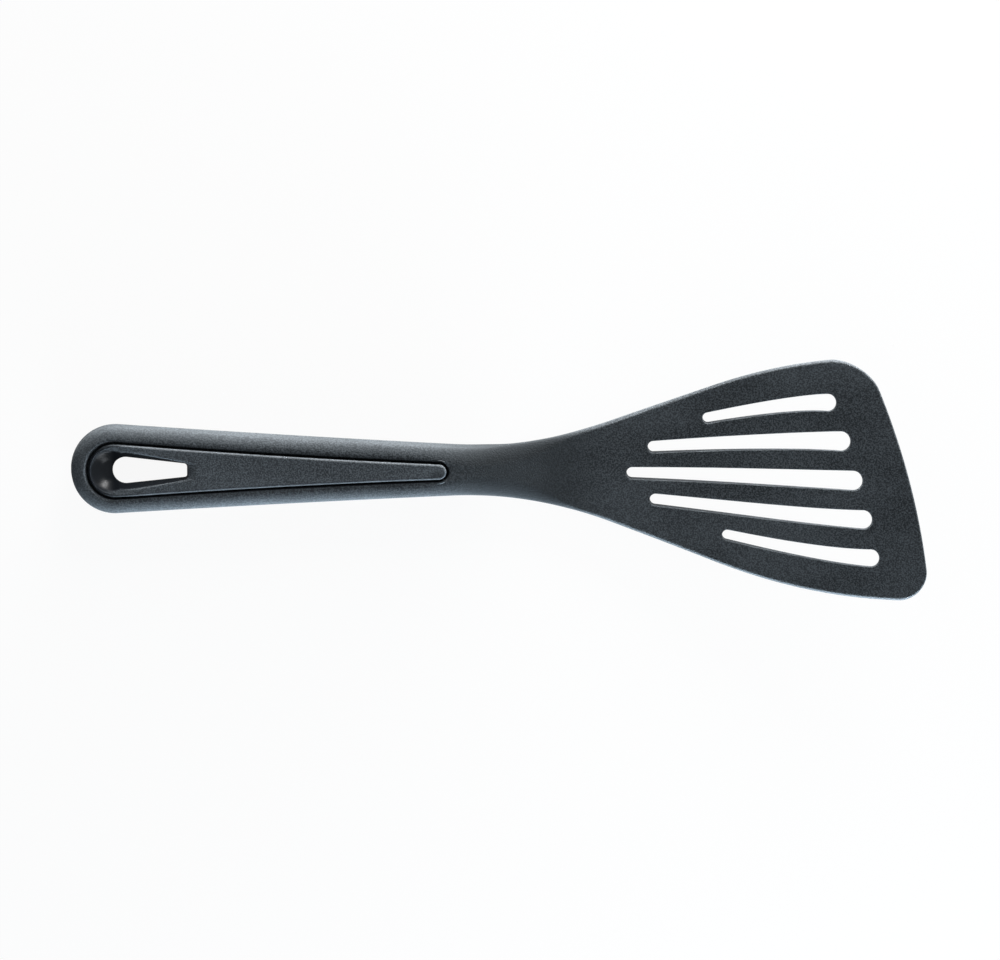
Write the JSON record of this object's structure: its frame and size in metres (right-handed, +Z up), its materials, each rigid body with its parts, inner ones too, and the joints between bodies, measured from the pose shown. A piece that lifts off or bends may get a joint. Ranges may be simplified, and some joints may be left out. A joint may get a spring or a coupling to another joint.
{
  "type": "slotted turner",
  "caption": "One-piece moulded kitchen turner with a bent, slotted blade, a slanted front edge, a rounded handle, a teardrop handle inlay and a hanging eye.",
  "frame": {"origin": "on the table, below the middle of the part's bounding box, with the part lying on the flat underside of its handle", "axes": "+X along the handle from the hanging end to the blade's front edge, +Y across the blade towards its shorter side, +Z up, out of the face with the inlay"},
  "size_m": [0.3018, 0.0838, 0.0384],
  "materials": {
    "body_nylon": "fine spark-eroded grain, satin on the handle rim",
    "inlay_nylon": "fine spark-eroded grain, smooth in the dish at the eye"
  },
  "bodies": {
    "root": {"turner_body": "body_nylon", "handle_inlay": "inlay_nylon"}
  },
  "joints": []
}
